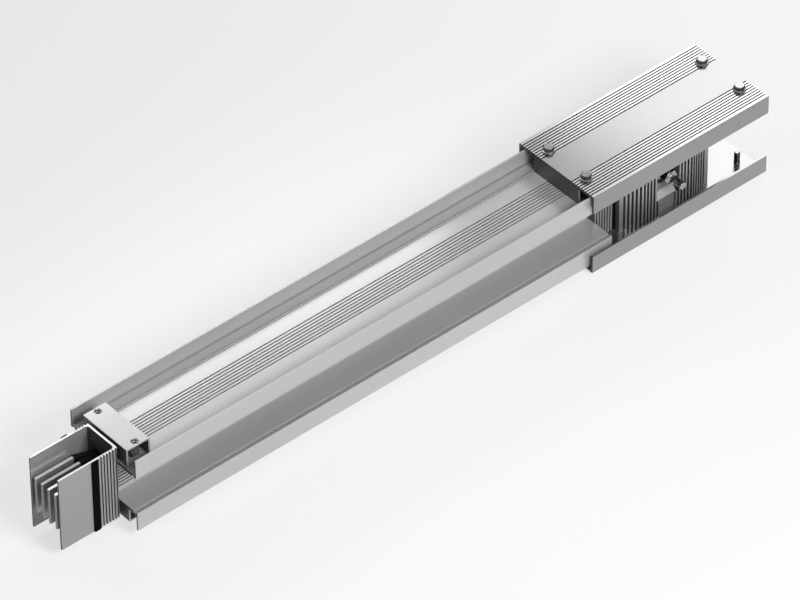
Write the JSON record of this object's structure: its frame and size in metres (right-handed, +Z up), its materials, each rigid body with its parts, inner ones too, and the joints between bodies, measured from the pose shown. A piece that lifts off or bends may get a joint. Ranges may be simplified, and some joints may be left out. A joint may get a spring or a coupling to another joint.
{
  "type": "busway section",
  "caption": "Straight low sandwich busway length with flared bar ends, finned end brackets and a bolted joint stack with covers at one end.",
  "frame": {"origin": "below the middle of the whole piece, on the floor that the lowest bolt heads stand on", "axes": "+X along the busway from the open bar ends to the joint covers, +Y across it, +Z up"},
  "size_m": [1.1314, 0.1462, 0.1414],
  "materials": {
    "housing_aluminium": "satin extruded aluminium",
    "side_aluminium": "satin ribbed extrusion",
    "bracket_aluminium": "satin finned extrusion",
    "clip_aluminium": "matte light extrusion",
    "cover_aluminium": "satin grooved extrusion",
    "stack_aluminium": "satin finned extrusion",
    "conductor": "tin plated aluminium, bright satin",
    "splice": "tin plated, bright satin",
    "sleeve_film": "black insulating film",
    "insulator": "matte black moulded insulator",
    "gasket_rubber": "matte black foam rubber",
    "insert_steel": "zinc plated",
    "bolt_steel": "bright plated steel"
  },
  "bodies": {
    "root": {"bar_sleeve_1": "sleeve_film", "bar_sleeve_2": "sleeve_film", "bar_sleeve_3": "sleeve_film", "bar_sleeve_4": "sleeve_film", "bottom_channel": "housing_aluminium", "clip_insert_left_bottom_back": "insert_steel", "clip_insert_left_bottom_front": "insert_steel", "clip_insert_left_top_back": "insert_steel", "clip_insert_left_top_front": "insert_steel", "clip_insert_right_bottom_back": "insert_steel", "clip_insert_right_bottom_front": "insert_steel", "clip_insert_right_top_back": "insert_steel", "clip_insert_right_top_front": "insert_steel", "clip_left_bottom": "clip_aluminium", "clip_left_top": "clip_aluminium", "clip_right_bottom": "clip_aluminium", "clip_right_top": "clip_aluminium", "conductor_bar_1": "conductor", "conductor_bar_2": "conductor", "conductor_bar_3": "conductor", "conductor_bar_4": "conductor", "cover_bolt_bottom_inner_back": "bolt_steel", "cover_bolt_bottom_inner_front": "bolt_steel", "cover_bolt_bottom_outer_back": "bolt_steel", "cover_bolt_bottom_outer_front": "bolt_steel", "cover_bolt_top_inner_back": "bolt_steel", "cover_bolt_top_inner_front": "bolt_steel", "cover_bolt_top_outer_back": "bolt_steel", "cover_bolt_top_outer_front": "bolt_steel", "end_bracket_left": "bracket_aluminium", "end_bracket_right": "bracket_aluminium", "gasket_left_back": "gasket_rubber", "gasket_left_front": "gasket_rubber", "gasket_right_back": "gasket_rubber", "gasket_right_front": "gasket_rubber", "joint_bolt": "bolt_steel", "joint_bolt_sleeve": "insulator", "joint_cover_bottom": "cover_aluminium", "joint_cover_top": "cover_aluminium", "joint_nut": "bolt_steel", "joint_washer_back": "bolt_steel", "joint_washer_front": "bolt_steel", "side_plate_back": "side_aluminium", "side_plate_front": "side_aluminium", "splice_plate_1_back": "splice", "splice_plate_1_front": "splice", "splice_plate_2_back": "splice", "splice_plate_2_front": "splice", "splice_plate_3_back": "splice", "splice_plate_3_front": "splice", "splice_plate_4_back": "splice", "splice_plate_4_front": "splice", "stack_insulator_1": "insulator", "stack_insulator_2": "insulator", "stack_insulator_3": "insulator", "stack_insulator_4": "insulator", "stack_insulator_5": "insulator", "stack_plate_back": "stack_aluminium", "stack_plate_front": "stack_aluminium", "top_channel": "housing_aluminium"}
  },
  "joints": []
}
